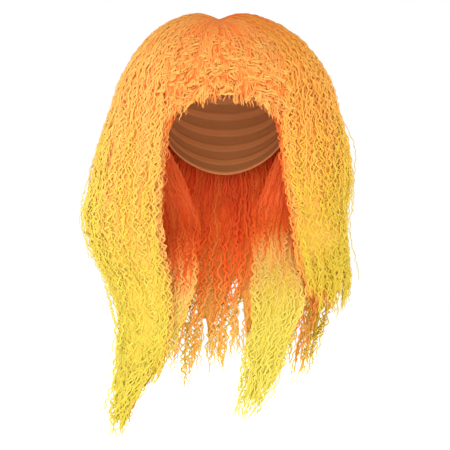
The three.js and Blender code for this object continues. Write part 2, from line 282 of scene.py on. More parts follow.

# Looks. A power above 1 deepens the dye, and one below 1 lightens it.
# On the right the higher powers are painted shade, and on the tails the lower ones are painted light.
TONE_RANGE = {"left": (1.03, 0.85), "right": (1.22, 1.03), "tail": (0.9, 0.72)}
DYE_SPREAD = {"fringe": 0.1, "long": 0.12}  # how much the fade's place differs from strand to strand
STRAND_LOOK = {
    "other_column": 300.0,  # keeps the two random values of a column apart
    "fleck": 0.06,  # change of the power along a strand
    "fleck_rows": 90.0,
    "fleck_detail": 2.0,
    "roughness": (0.55, 0.75),
    "fibres": 7.0,  # across a strand
    "fibre_rows": 30.0,
    "fibre_detail": 3.0,
    "relief": 0.0002,
}
MAT_LOOK = {
    "squiggle": 7.0,  # strands that the pattern sways over
    "squiggle_across": 0.3,
    "squiggle_rows": 75.0,
    "lowest": 0.45,  # height of the lowest strands as a share; lower strands get more painted shade
    "clump": 0.1,  # change of the power from clump to clump
    "clump_size": (60.0, 22.0, 1.0),
    "clump_detail": 3.0,
    "inside": 0.75,  # middle of the inner side across the map
    "inside_edge": (0.24, 0.13),  # how far from there the painted shade begins and is full
    "roughness": (0.75, 0.55),
    "relief": 0.0015,
}
TAIL_MAT = {"strands": 44.0, "inside": 0.9}  # strands across the core, and the share of painted shade over it
HAIR_RELIEF = 0.6
HAIR_SHEEN = 0.22
NET_LOOK = {
    "tracks": 22.0,
    "track_edge": (0.12, 0.3),
    "threads": 1500.0,
    "thread_rows": 900.0,
    "net": 0.8,  # shade between the threads as a share of the cap's colour
    "sewn": (1.1, 1.3),  # shades of a sewn track
    "roughness": (0.9, 0.65),
    "weave_height": 0.3,
    "strength": 0.7,
    "relief": 0.0012,
}

SENSOR = 36
FLOOR_SIZE = 12
FLOOR_LOOK = {"colour": (0.9, 0.9, 0.9, 1), "roughness": 0.8, "glow": 0.75}
WHITE = (1, 1, 1, 1)
LIGHT_SIZE = 2.0
# Each light with the setting of its power, and its place.
LIGHTS = (
    ("key", "key", (-0.55, -2.6, 0.95)),
    ("fill", "fill", (0.7, -2.7, -0.3)),
    ("side_left", "side", (-2.6, 0.2, 0.4)),
    ("side_right", "side", (2.6, 0.2, 0.4)),
    ("back_left", "back", (-1.3, 2.3, 0.7)),
    ("back_right", "back", (1.3, 2.3, 0.7)),
)


class CurlSettings(bpy.types.PropertyGroup):
    """How the strands curl, stray and thin out."""

    dome_share: bpy.props.FloatProperty(
        name="Curl on the crown",
        description="Size of the curls on the crown as a share of those below",
        default=0.5,
        min=0,
        max=1,
        subtype="FACTOR",
    )
    flatness: bpy.props.FloatProperty(
        name="Curl depth",
        description="How far a curl stands out from the hair as a share of how far it swings sideways",
        default=0.5,
        min=0,
        max=1,
        subtype="FACTOR",
    )
    wander: bpy.props.FloatProperty(
        name="Wander",
        description="How far a strand strays from its lock",
        default=0.004,
        min=0,
        unit="LENGTH",
    )
    build_up: bpy.props.FloatProperty(
        name="Root length",
        description="Length over which a curl builds up from the root",
        default=0.045,
        min=0.001,
        unit="LENGTH",
    )
    tip: bpy.props.FloatProperty(
        name="Tip length",
        description="Length over which a strand thins to its tip",
        default=0.04,
        min=0.001,
        unit="LENGTH",
    )


class ColourSettings(bpy.types.PropertyGroup):
    """Dye of the hair from the root to the tip, tints of painted shade near the head, and the cap."""

    root: bpy.props.FloatVectorProperty(
        name="Root", description="Dye at the root", subtype="COLOR", size=3, default=(0.95, 0.22, 0.035)
    )
    crown: bpy.props.FloatVectorProperty(
        name="Crown", description="Dye over the crown", subtype="COLOR", size=3, default=(0.95, 0.33, 0.065)
    )
    upper: bpy.props.FloatVectorProperty(
        name="Upper", description="Dye above the fade", subtype="COLOR", size=3, default=(0.90, 0.45, 0.088)
    )
    fade: bpy.props.FloatVectorProperty(
        name="Fade", description="Dye in the fade", subtype="COLOR", size=3, default=(0.82, 0.51, 0.068)
    )
    lower: bpy.props.FloatVectorProperty(
        name="Lower", description="Dye below the fade", subtype="COLOR", size=3, default=(0.77, 0.55, 0.060)
    )
    tip: bpy.props.FloatVectorProperty(
        name="Tip", description="Dye at the tip", subtype="COLOR", size=3, default=(0.71, 0.57, 0.055)
    )
    # The next two are tints of painted shade near the head, not dyes.
    deep: bpy.props.FloatVectorProperty(
        name="Painted shade", description="Tint of the shaded hair near the head", subtype="COLOR", size=3,
        default=(0.96, 0.32, 0.15),
    )
    darkest_painted_shade: bpy.props.FloatVectorProperty(
        name="Darkest painted shade", description="Tint of the shaded hair at the head", subtype="COLOR", size=3,
        default=(0.72, 0.26, 0.13),
    )
    cap: bpy.props.FloatVectorProperty(
        name="Cap", description="Stretch net of the cap", subtype="COLOR", size=3,
        default=(0.50, 0.20, 0.06),
    )


class StageSettings(bpy.types.PropertyGroup):
    """Camera, floor and light."""

    distance: bpy.props.FloatProperty(
        name="Camera distance", description="From the camera to the parting", default=3.0, min=0.5,
        unit="LENGTH",
    )
    view_width: bpy.props.FloatProperty(
        name="View width", description="Width of the view at the parting", default=0.5625, min=0.1,
        unit="LENGTH",
    )
    view_height: bpy.props.FloatProperty(
        name="View height", description="Height of the middle of the view", default=-0.23125, unit="LENGTH"
    )
    floor: bpy.props.FloatProperty(
        name="Floor", description="Height of the floor", default=-0.56, unit="LENGTH"
    )
    key: bpy.props.FloatProperty(
        name="Key light", description="Power of the light at the upper left", default=52, min=0,
        unit="POWER",
    )
    fill: bpy.props.FloatProperty(
        name="Fill light", description="Power of the light at the right", default=16, min=0, unit="POWER"
    )
    side: bpy.props.FloatProperty(
        name="Side lights", description="Power of the light on each side", default=30, min=0, unit="POWER"
    )
    back: bpy.props.FloatProperty(
        name="Back lights", description="Power of each light behind", default=37, min=0, unit="POWER"
    )
    sky: bpy.props.FloatProperty(
        name="Surround", description="How strongly the white surround lights the hair", default=0.33, min=0
    )


def curl():
    return bpy.context.scene.wig_curl


def colours():
    return bpy.context.scene.wig_colours


def lerp(low, high, share):
    return low + (high - low) * share


def ease(low, high, value):
    share = np.clip((value - low) / (high - low), 0, 1)
    return share * share * (3 - 2 * share)


def unit(vectors):
    return vectors / np.maximum(np.linalg.norm(vectors, axis=-1, keepdims=True), 1e-9)


def rows_at(rows, station):
    """Rows of a table at stations that may lie between its rows, on a smooth curve through them."""
    last = len(rows) - 1
    station = np.asarray(station, float)
    i = np.clip(np.floor(station).astype(int), 0, last - 1)
    f = np.clip(station - i, 0, 1)[..., None]
    a, b, c, d = (rows[np.clip(i + k, 0, last)] for k in (-1, 0, 1, 2))
    bend = 2 * a - 5 * b + 4 * c - d
    twist = 3 * (b - c) + d - a
    return 0.5 * (2 * b + f * (c - a + f * (bend + f * twist)))


def level_at(station):
    row = dict(zip(LEVEL_COLUMNS, np.moveaxis(rows_at(LEVELS, station), -1, 0)))
    row["drop"] = np.interp(station, np.arange(len(LEVEL_DROP)), LEVEL_DROP)
    row["lean"] = np.interp(station, np.arange(len(LEVEL_LEAN)), LEVEL_LEAN)
    return row


def station_at(height):
    """The station at which the levels come down to a height, below the crest."""
    return np.interp(-height, -LEVELS[1:, 0], np.arange(1, len(LEVELS)))


def fringe_round(row, across):
    return lerp(-row["edge_left"], row["edge_right"], across)


def left_round(row, across):
    return -lerp(row["edge_left"], row["split_left"], across)


def right_round(row, across):
    return lerp(row["edge_right"], row["split_right"], across)


def back_round(row, across):
    below = np.clip((SHOULDER["top"] - row["z"]) / (SHOULDER["top"] - SHOULDER["bottom"]), 0, 1)
    away = SHOULDER["gap_deg"] * below
    return lerp(row["split_right"] + away, 360 - row["split_left"] - away, across)


FRINGE = Curtain(
    fringe_round, FRINGE_TIPS, 11, lock_ragged=3, lock_pull=0.35,
    mat=(-0.05, 1.05), mat_free=(-0.05, 1.05), mat_round=0.12, mat_thin=0.9, mat_short=12,
    mat_strands=150.0, fade=0.5, inner_dye_and_shade=60,
)
LEFT = Curtain(left_round, LEFT_TIPS, 13)
RIGHT = Curtain(right_round, RIGHT_TIPS, 12, mat_cover=(2.0, 4.2))
BACK = Curtain(
    back_round, BACK_TIPS, 21, mat=(-0.03, 1.03), mat_free=(0.02, 0.98), mat_cover=(2.4, 5.2),
    mat_round=0.1, mat_thin=0.7, mat_short=85, mat_strands=230.0, inner_dye_and_shade=235,
)

# Length along the outer form from the parting to each level.
LEVEL_RUN = np.concatenate([[0], np.cumsum(np.linalg.norm(np.diff(LEVELS[:, :2], axis=0), axis=1))])


def tip_height(tips, across):
    slots = (np.arange(len(tips)) + 0.5) / len(tips)
    return np.interp(across, slots, tips)


def hair_form(row, degrees):
    """Points on the outer form with their outward and sideways directions, and the depth of hair there."""
    a = np.radians(degrees)
    wide = np.where(np.sin(a) < 0, row["left"], row["right"])
    deep = np.where(np.cos(a) > 0, row["front"], row["back"])
    height = row["z"] - row["drop"] * np.cos(a) ** 2
    outer = np.stack([row["lean"] + wide * np.sin(a), -deep * np.cos(a), height], -1)
    turn = (FACE_SIDE["top"] - row["z"]) / (FACE_SIDE["top"] - FACE_SIDE["bottom"])
    aside = np.clip(turn, 0, 1) * np.maximum(np.cos(a), 0) * outer[..., 0]
    middle = np.stack([aside, 0 * a, np.minimum(row["z"], -HEAD["half_height"]) + 0 * a], -1)
    outward = unit(outer - middle)
    sideways = unit(np.stack([wide * np.cos(a), deep * np.sin(a), 0 * a], -1))
    depth = np.minimum(row["thick"], cap_distance(outer, -outward) - CAP_CLEAR)
    return outer, outward, sideways, np.maximum(depth, LEAST_DEPTH)


def cap_distance(points, direction):
    """How far along a direction the inside of the cap lies. It is far where the line misses the head."""
    size = np.array([HEAD["half_width"], HEAD["half_depth"], HEAD["half_height"]], float)
    start = (points + (0, 0, HEAD["half_height"])) / size
    step = direction / size
    a = (step * step).sum(-1)
    b = (start * step).sum(-1)
    c = (start * start).sum(-1) - 1
    root = b * b - a * c
    return np.where(root > 0, (-b - np.sqrt(np.maximum(root, 0))) / a, FAR)


# A strand's path before it is curled: points, directions out of the hair and sideways, and the dye's shift.
Guide = namedtuple("Guide", "points outward sideways dye")


def run_along(points):
    return np.concatenate([[0], np.cumsum(np.linalg.norm(np.diff(points, axis=0), axis=1))])


def curtain_guide(curtain, batch, across, rng):
    """The path of one strand of a curtain. Strands gather into locks towards their tips."""
    lock = math.floor(min(across, 0.999) * curtain.locks)
    centre = (lock + 0.5 + LOCK_SHIFT * math.sin(LOCK_STEPS["place"] * lock)) / curtain.locks
    tip = tip_height(curtain.tips, across) + curtain.lock_ragged * math.sin(LOCK_STEPS["length"] * lock)
    tip += rng.uniform(*batch.tip)
    share = np.linspace(0, 1, GUIDE_POINTS["curtain"])
    gather = ease(GATHER_FROM, 1, share)
    root = rng.uniform(*batch.root)
    row = level_at(lerp(root, station_at(tip), share))
    place = lerp(across, centre, curtain.lock_pull * gather)
    outer, outward, sideways, room = hair_form(row, curtain.degrees(row, place))
    depth = rng.uniform(*batch.depth)
    inset = lerp(rng.uniform(*batch.root_depth), depth, ease(0, SINK_RUN, run_along(outer)))
    inset = lerp(inset, lerp(inset, LOCK_CORE, 0.5), gather)
    off = rng.uniform(*batch.lift) * share * share
    # Deeper strands lag in their fade, a painted shade that makes covered hair more orange.
    dye = np.interp(root, np.arange(len(LEVEL_RUN)), LEVEL_RUN) - curtain.inner_dye_and_shade * max(depth, 0)
    dye -= COVERED_SHADE_LAG * ease(*COVERED_DEPTH, depth)
    return Guide(outer + outward * (off - inset * room)[:, None], outward, sideways, curtain.fade * dye)


def tail_guide(rows, batch, across, rng):
    """The path of one strand of a tail. Across and depth run from -1 to 1."""
    root = rng.uniform(*batch.root)
    station = np.linspace(root, len(rows) - 1 - rng.uniform(*batch.tip), GUIDE_POINTS["tail"])
    row = dict(zip(TAIL_COLUMNS, np.moveaxis(rows_at(rows, station), -1, 0)))
    middle = np.stack([row["x"], row["y"], row["z"]], -1)
    sideways, outward = tail_sides(middle)
    depth = rng.uniform(*batch.depth) * math.sqrt(1 - TAIL_ROUND * across * across)
    offset = sideways * (0.5 * across * row["width"])[:, None]
    offset -= outward * (0.5 * depth * row["depth"])[:, None]
    return Guide(middle + offset, outward, sideways, 0)


def tail_sides(middle):
    """Directions sideways and out of a tail along its middle line."""
    sideways = np.tile([1.0, 0, 0], (len(middle), 1))
    along = unit(np.gradient(middle, axis=0))
    return sideways, unit(np.cross(along, sideways))


def curled(guide, batch, rng):
    """Curls a guide and returns the strand's points, outward directions, radii and run from the root."""
    shape = curl()
    run = run_along(guide.points)
    length = rng.uniform(*batch.curl)
    count = max(FEWEST_POINTS, int(run[-1] * CURL_STEPS / length))
    t = np.linspace(0, run[-1], count)

    def spread(values):
        return np.stack([np.interp(t, run, values[:, k]) for k in range(3)], -1)

    outward = unit(spread(guide.outward))
    sideways = unit(spread(guide.sideways))
    phase = rng.uniform(0, 2 * np.pi, 5)
    drift_wave, wander_wave, swell_wave = rng.uniform(*WAVE_LENGTHS)
    hand = rng.choice((-1, 1))
    to_tip = (t[-1] - t) * MM
    drift = CURL_DRIFT * np.sin(2 * np.pi * t / drift_wave + phase[0])
    turn = 2 * np.pi * t / length + drift + phase[1]
    size = rng.uniform(*batch.swing) * np.clip(t * MM / shape.build_up, ROOT_CURL, 1)
    size = size * lerp(shape.dome_share, 1, ease(*DOME_RUN, t))
    size = size * lerp(TIP_CURL, 1, ease(0, shape.tip, to_tip))
    size = size * (1 + CURL_SWELL * np.sin(2 * np.pi * t / swell_wave + phase[4]))
    stray = shape.wander / MM * np.clip(t / WANDER_RUN, ROOT_WANDER, 1)
    slow = 2 * np.pi * t / wander_wave
    aside = size * np.cos(turn) + stray * np.sin(slow + phase[2])
    out = hand * shape.flatness * size * np.sin(turn) + 0.5 * stray * np.sin(slow + phase[3])
    points = spread(guide.points) + sideways * aside[:, None] + outward * out[:, None]
    radii = rng.uniform(*batch.radius) * lerp(TIP_RADIUS, 1, np.sqrt(np.clip(to_tip / shape.tip, 0, 1)))
    return points, outward, radii, t


class StrandMesh:
    """Gathers strands as closed tubes and makes them one mesh with a colour map."""

    def __init__(self):
        self.points, self.quads, self.triangles = [], [], []
        self.quad_uv, self.triangle_uv = [], []
        self.quad_normals, self.triangle_normals = [], []
        self.count = 0
        self.faces = 0

    def add(self, points, outward, radii, dye, tone):
        n = len(points)
        k = STRAND_SIDES
        along = unit(np.gradient(points, axis=0))
        side = unit(np.cross(along, outward))
        up = np.cross(along, side)
        angle = 2 * np.pi * (np.arange(k) + STRAND_TURN) / k
        ring = side[:, None] * np.cos(angle)[:, None] + up[:, None] * np.sin(angle)[:, None]
        body = points[:-1, None] + ring[:-1] * radii[:-1, None, None]
        self.points.append(np.concatenate([body.reshape(-1, 3), points[-1:]]))
        first = self.count
        corner = first + np.arange((n - 1) * k).reshape(n - 1, k)
        after = np.roll(corner, -1, axis=1)
        quads = np.stack([corner[:-1], after[:-1], after[1:], corner[1:]], -1)
        self.quads.append(quads.reshape(-1, 4))
        tip = first + (n - 1) * k
        tips = np.stack([corner[-1], after[-1], np.full(k, tip)], -1)
        self.triangles.append(np.concatenate([tips, corner[:1, ::-1]]))
        u = (tone + TONE_MARGIN + (1 - 2 * TONE_MARGIN) * np.arange(k + 1) / k) / TONES
        v = np.clip(dye / DYE_LENGTH, MAP_MARGIN, 1 - MAP_MARGIN)
        low, high = np.broadcast_arrays(v[:-2, None], u[None, :-1])
        right = np.broadcast_to(u[None, 1:], low.shape)
        top = np.broadcast_to(v[1:-1, None], low.shape)
        uv = np.stack([high, low, right, low, right, top, high, top], -1)
        self.quad_uv.append(uv.reshape(-1, 2))
        below, above = np.full(k, v[-2]), np.full(k, v[-1])
        tip_uv = np.stack([u[:-1], below, u[1:], below, u[:-1], above], -1)
        root_uv = np.array([[u[0], v[0]], [u[1], v[0]], [u[0], v[1]]])
        self.triangle_uv.append(np.concatenate([tip_uv.reshape(-1, 2), root_uv]))
        # Shading directions at each face's corners, turned out of the hair or into it as the face looks.
        facing = -np.sign(np.sin(2 * np.pi * (np.arange(k) + STRAND_TURN + 0.5) / k))
        face = outward[:-1, None] * facing[:, None]
        here = unit(lerp(ring[:-1], face, STRAND_FLAT))
        there = unit(lerp(np.roll(ring[:-1], -1, axis=1), face, STRAND_FLAT))
        quad_normals = np.stack([here[:-1], there[:-1], there[1:], here[1:]], 2)
        self.quad_normals.append(quad_normals.reshape(-1, 3))
        tip_normals = np.stack([here[-1], there[-1], face[-1]], 1).reshape(-1, 3)
        self.triangle_normals.append(np.concatenate([tip_normals, np.tile(-along[0], (3, 1))]))
        self.count += (n - 1) * k + 1
        self.faces += 2 * (n - 2) * k + k + 1

    def make(self, name, material):
        quads = np.concatenate(self.quads)
        triangles = np.concatenate(self.triangles)
        uv = np.concatenate(self.quad_uv + self.triangle_uv)
        faces = quads.tolist() + triangles.tolist()
        piece = mesh_piece(name, np.concatenate(self.points), faces, uv, material)
        normals = np.concatenate(self.quad_normals + self.triangle_normals)
        piece.data.normals_split_custom_set(normals.tolist())
        return piece


def mesh_piece(name, points, faces, uv, material):
    """Makes a smooth mesh object out of points in millimetres."""
    mesh = bpy.data.meshes.new(name)
    mesh.from_pydata((points * MM).tolist(), [], faces)
    mesh.uv_layers.new(name=MAP).data.foreach_set("uv", np.asarray(uv, np.float32).ravel())
    mesh.polygons.foreach_set("use_smooth", np.ones(len(mesh.polygons), bool))
    mesh.materials.append(material)
    mesh.update()
    piece = bpy.data.objects.new(name, mesh)
    bpy.context.scene.collection.objects.link(piece)
    return piece


def settle(piece, node):
    """Puts a piece in the place of its node."""
    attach(piece, BODY)
    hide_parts(node)


def lay(strands, guide_of, source, batches, rng, fade=1.0, dye=0.0):
    """Fills a curtain or a tail with batches of strands. Fade stretches their dye and dye shifts it up."""
    for batch in batches:
        full = strands.faces + batch.faces
        place = rng.uniform()
        while strands.faces < full:
            place = (place + GOLDEN) % 1
            guide = guide_of(source, batch, lerp(*batch.across, place), rng)
            points, outward, radii, run = curled(guide, batch, rng)
            strands.add(points, outward, radii, dye + guide.dye + fade * run, rng.integers(*batch.tone))


def lay_tufts(strands, curtain, rng):
    """Scatters choppy tufts over a fringe. Each is a brush of strands whose dye lightens towards its tip, a
    painted highlight.
    """
    share = np.linspace(0, 1, TUFTS["points"])
    for k in range(TUFTS["count"]):
        across = (k * GOLDEN) % 1
        height = rng.uniform(tip_height(curtain.tips, across) + TUFTS["clear"], TUFTS["top"])
        row = level_at(station_at(np.array([height])))
        outer, outward, sideways, _ = (part[0] for part in hair_form(row, curtain.degrees(row, across)))
        down = np.cross(outward, sideways)
        down = down * -np.sign(down[2])
        heading = rng.normal(0, lerp(*TUFTS["fan"], ease(*TUFTS["fan_heights"], height)))
        aim = down * math.cos(heading) + sideways * math.sin(heading)
        aside = sideways * math.cos(heading) - down * math.sin(heading)
        length = rng.uniform(*TUFTS["length"])
        bow = rng.uniform(*TUFTS["bow"])
        rise = rng.uniform(*TUFTS["rise"])
        for _ in range(TUFTS["strands"]):
            reach = length * rng.uniform(*TUFTS["reach"]) * share
            start = rng.normal(0, TUFTS["spread"], 3)
            wave = np.sin(TUFTS["wave_turn"] * share + rng.uniform(*TUFTS["wave_start"]))
            across_bow = bow * share**2 + TUFTS["wave"] * wave
            path = outer + start + np.outer(reach, aim) + np.outer(across_bow, aside)
            path = path + np.outer(lerp(TUFTS["sunk"], rise, np.sqrt(share)), outward)
            radii = rng.uniform(*TUFTS["radius"]) * lerp(TUFTS["tip_radius"], 1, np.sqrt(1 - share))
            # The faster fade paints a highlight towards the tuft's tip.
            dye = TUFT_HIGHLIGHT_SHIFT + TUFT_HIGHLIGHT_FADE * reach
            tone = rng.integers(*TUFTS["tone"])
            strands.add(path, np.tile(outward, (len(share), 1)), radii, dye, tone)


def mat_piece(name, curtain, material):
    """A closed sheet of tangled hair under a curtain's strands. It thins to ragged ends above the tips."""
    rows, columns = MAT_ROWS, MAT_COLUMNS * curtain.locks + 1
    side = np.linspace(-1, 1, columns)
    share = np.linspace(0, 1, rows)
    under = lerp(*curtain.mat, 0.5 + 0.5 * side)
    free = lerp(*curtain.mat_free, 0.5 + 0.5 * side)
    turn = 2 * np.pi * free * curtain.locks
    wide = MAT_RAGGED["wide"] * np.sin(MAT_RAGGED["wide_turn"] * turn)
    ragged = curtain.mat_short * (wide - MAT_RAGGED["lock"] * np.cos(turn))
    end = tip_height(curtain.tips, free) + curtain.mat_short - ragged
    row = level_at(share[:, None] * station_at(end))
    place = lerp(under, free, ease(*MAT_PARTS, -row["z"]))
    outer, outward, _, room = hair_form(row, curtain.degrees(row, place))
    edge = np.sqrt(1 - MAT_EDGE * np.clip(1 - (1 - np.abs(side)) / curtain.mat_round, 0, 1) ** 2)
    thin = 1 - (1 - ease(curtain.mat_thin, 1, share)[:, None]) * edge
    step = np.linalg.norm(np.diff(outer, axis=0), axis=2)
    run = np.concatenate([np.zeros((1, columns)), np.cumsum(step, axis=0)])
    cover = lerp(*curtain.mat_cover, ease(*DOME_RUN, run))
    depths = (np.minimum(cover / room, MAT_SINK), MAT_DEPTH)
    sheets = [outer - outward * (lerp(depth, MAT_CORE, thin) * room)[..., None] for depth in depths]
    u = np.broadcast_to(0.5 * np.linspace(0, 1, columns), run.shape)
    # The lag paints the mat more orange than the strands over it, a painted shade; its inner side lags
    # further, as the inner hair does, partly dye and partly painted shade.
    v = np.clip((curtain.fade * run - MAT_SHADE_LAG) / DYE_LENGTH, *MAT_MAP)
    lag = lerp(MAT_SHADE_LAG, curtain.inner_dye_and_shade, ease(0, MAT_INSIDE, 1 - np.abs(side)))
    inner_v = np.clip((run - lag) / DYE_LENGTH, *MAT_MAP)
    grid = np.arange(rows * columns).reshape(rows, columns)
    rings = np.concatenate([grid, (grid + rows * columns)[:, ::-1]], axis=1)
    ring_u = np.concatenate([u, 1 - u[:, ::-1] - MAT_SEAM], axis=1)
    ring_v = np.concatenate([v, inner_v[:, ::-1]], axis=1)
    points = np.concatenate([sheet.reshape(-1, 3) for sheet in sheets])
    return closed_piece(name, points, rings, ring_u, ring_v, material)


def closed_piece(name, points, rings, ring_u, ring_v, material):
    """Skins rings of point numbers into a closed piece, with a strip of faces over each end."""
    after = np.roll(rings, -1, axis=1)
    after_u = np.roll(ring_u, -1, axis=1)
    after_v = np.roll(ring_v, -1, axis=1)
    turned = after_u < ring_u - MAP_TURN
    after_u = np.where(turned, 1.0, after_u)
    faces = np.stack([rings[:-1], rings[1:], after[1:], after[:-1]], -1).reshape(-1, 4)
    here = np.stack([ring_u, ring_v], -1)
    there = np.stack([after_u, after_v], -1)
    uv = np.stack([here[:-1], here[1:], there[1:], there[:-1]], 2).reshape(-1, 2)
    count = rings.shape[1]
    half = count // 2
    ends, end_uv = [], []
    for k in (0, -1):
        for i in range(half - 1):
            corners = [i, i + 1, count - 2 - i, count - 1 - i]
            ends.append(rings[k, corners].tolist())
            strip_v = ring_v[k, corners] + (0, 0, END_STRIP, END_STRIP)
            end_uv.append(np.stack([ring_u[k, [i, i + 1, i + 1, i]], strip_v], -1))
    uv = np.concatenate([uv, *end_uv])
    piece = mesh_piece(name, points, faces.tolist() + ends, np.clip(uv, 0, 1), material)
    turn_outward(piece)
    return piece


def tail_mat(name, rows, material, dye):
    """A closed core of tangled hair inside a tail."""
    sides, count = TAIL_CORE["sides"], TAIL_CORE["rings"]
    station = np.linspace(TAIL_CORE["top"], len(rows) - 1 - TAIL_CORE["short"], count)
    row = dict(zip(TAIL_COLUMNS, np.moveaxis(rows_at(rows, station), -1, 0)))
    middle = np.stack([row["x"], row["y"], row["z"]], -1)
    sideways, outward = tail_sides(middle)
    to_tip = (count - 1 - np.arange(count)) / TAIL_CORE["taper"]
    size = np.sqrt(np.clip(to_tip, TAIL_CORE["tip"], 1))
    angle = 2 * np.pi * np.arange(sides) / sides
    wide = sideways * (TAIL_CORE["width"] * row["width"] * size)[:, None]
    deep = outward * (TAIL_CORE["depth"] * row["depth"] * size)[:, None]
    rings = middle[:, None] + wide[:, None] * np.cos(angle)[:, None]
    rings = rings + deep[:, None] * np.sin(angle)[:, None]
    v = np.clip((dye + TAIL_FADE * run_along(middle)) / DYE_LENGTH, *MAT_MAP)
    v = np.repeat(v[:, None], sides, axis=1)
    u = np.broadcast_to(np.arange(sides) / sides, v.shape)
    grid = np.arange(count * sides).reshape(count, sides)
    return closed_piece(name, rings.reshape(-1, 3), grid, u, v, material)


def turn_outward(piece):
    """Recalculates a closed piece's faces to point outwards."""
    select_only(piece)
    bpy.ops.object.mode_set(mode="EDIT")
    bpy.ops.mesh.select_all(action="SELECT")
    bpy.ops.mesh.normals_make_consistent(inside=False)
    bpy.ops.object.mode_set(mode="OBJECT")


def select_only(piece):
    bpy.ops.object.select_all(action="DESELECT")
    piece.select_set(True)
    bpy.context.view_layer.objects.active = piece


class Tree:
    """Adds and joins shader nodes."""

    def __init__(self, tree):
        self.tree = tree

    def add(self, kind, *values, **settings):
        """Adds a node. Values go to its inputs in order. A socket is joined, and None leaves the default."""
        node = self.tree.nodes.new("ShaderNode" + kind)
        for name, value in settings.items():
            setattr(node, name, value)
        for socket, value in zip(node.inputs, values):
            self.put(socket, value)
        return node

    def put(self, socket, value):
        if isinstance(value, bpy.types.NodeSocket):
            self.tree.links.new(value, socket)
        elif value is not None:
            socket.default_value = value

    def math(self, operation, *values):
        return self.add("Math", *values, operation=operation).outputs[0]

    def mix(self, blend, share, first, second):
        """Mixes two colours."""
        node = self.add("Mix", data_type="RGBA", blend_type=blend)
        colour_inputs = [s for s in node.inputs if s.type == "RGBA"]
        self.put(node.inputs[0], share)
        self.put(colour_inputs[0], first)
        self.put(colour_inputs[1], second)
        return next(s for s in node.outputs if s.type == "RGBA")

    def scaled(self, low, high, value):
        """Spreads a value from 0 to 1 over a range."""
        return self.add("MapRange", value, 0.0, 1.0, low, high).outputs[0]

    def random(self, number):
        """A random value from 0 to 1 for each number."""
        return self.add("TexWhiteNoise", None, number, noise_dimensions="1D").outputs["Value"]

    def noise(self, place, stretch, detail):
        """Soft noise from 0 to 1, stretched along the map."""
        stretched = self.add("VectorMath", place, stretch, operation="MULTIPLY").outputs[0]
        return self.add("TexNoise", stretched, None, 1.0, detail).outputs[0]


def opaque(colour, shade=1.0):
    return (*(part * shade for part in colour), 1.0)


def new_group(name, inputs, outputs):
    """An empty shader node group with named sockets."""
    group = bpy.data.node_groups.new(name, "ShaderNodeTree")
    for socket, default in inputs.items():
        made = group.interface.new_socket(socket, in_out="INPUT", socket_type="NodeSocketFloat")
        made.default_value = default
    for socket, kind in outputs.items():
        group.interface.new_socket(socket, in_out="OUTPUT", socket_type=kind)
    given = group.nodes.new("NodeGroupInput")
    return group, Tree(group), given, group.nodes.new("NodeGroupOutput")


def dye_ramp(tree, place):
    """The fade from root to tip at a place between 0 and 1."""
    dye = colours()
    ramp = tree.add("ValToRGB", place)
    stops = (
        (0.0, dye.root),
        (0.07, dye.crown),
        (0.18, dye.upper),
        (0.32, dye.upper),
        (0.40, dye.fade),
        (0.50, dye.lower),
        (0.85, dye.tip),
    )
    elements = ramp.color_ramp.elements
    while len(elements) < len(stops):
        elements.new(0.5)
    for element, (position, colour) in zip(elements, stops):
        element.position = position
        element.color = opaque(colour)
    return ramp.outputs["Color"]


def shaded(tree, dyed, deep, down):
    """Paints shade near the head where a mask says so: multiplies the dye by a dark tint, darkest at the
    head and less and less down the hair.
    """
    near = tree.add("MapRange", down, *PAINTED_SHADE_FADE, 1.0, 0.0).outputs[0]
    nearest = tree.add("MapRange", down, 0.0, PAINTED_SHADE_FADE[0], 1.0, 0.0).outputs[0]
    tint = tree.mix("MIX", nearest, opaque(colours().deep), opaque(colours().darkest_painted_shade))
    return tree.mix("MULTIPLY", tree.math("MULTIPLY", deep, near), dyed, tint)


def strand_group():
    """Dye, painted shade near the head, sheen and fibre of strands. The map has a column for each tone and a
    row for each length.
    """
    look = STRAND_LOOK
    name = "Dyed strand"
    if name in bpy.data.node_groups:
        return bpy.data.node_groups[name]
    group, tree, given, out = new_group(
        name,
        {"Dye spread": 0.1, "Dark strands": 1.12, "Light strands": 0.8},
        {"Color": "NodeSocketColor", "Roughness": "NodeSocketFloat", "Height": "NodeSocketFloat"},
    )
    place = tree.add("UVMap", uv_map=MAP).outputs["UV"]
    split = tree.add("SeparateXYZ", place).outputs
    column = tree.math("FLOOR", tree.math("MULTIPLY", split["X"], float(TONES)))
    tone = tree.random(column)
    shift = tree.math("MULTIPLY", tree.math("SUBTRACT", tone, 0.5), given.outputs["Dye spread"])
    dyed = dye_ramp(tree, tree.math("ADD", split["Y"], shift))
    fleck = tree.noise(place, (float(TONES), look["fleck_rows"], 1.0), look["fleck_detail"])
    other = tree.random(tree.math("ADD", column, look["other_column"]))
    tint = tree.scaled(given.outputs["Dark strands"], given.outputs["Light strands"], other)
    tint = tree.math("ADD", tint, tree.scaled(look["fleck"], -look["fleck"], fleck))
    # The last columns of the map get painted shade near the head.
    deep = tree.math("GREATER_THAN", column, PAINTED_SHADE_TONE - 0.5)
    tree.put(out.inputs["Color"], tree.add("Gamma", shaded(tree, dyed, deep, split["Y"]), tint).outputs[0])
    tree.put(out.inputs["Roughness"], tree.scaled(*look["roughness"], fleck))
    fibres = (TONES * look["fibres"], look["fibre_rows"], 1.0)
    tree.put(out.inputs["Height"], tree.noise(place, fibres, look["fibre_detail"]))
    return group


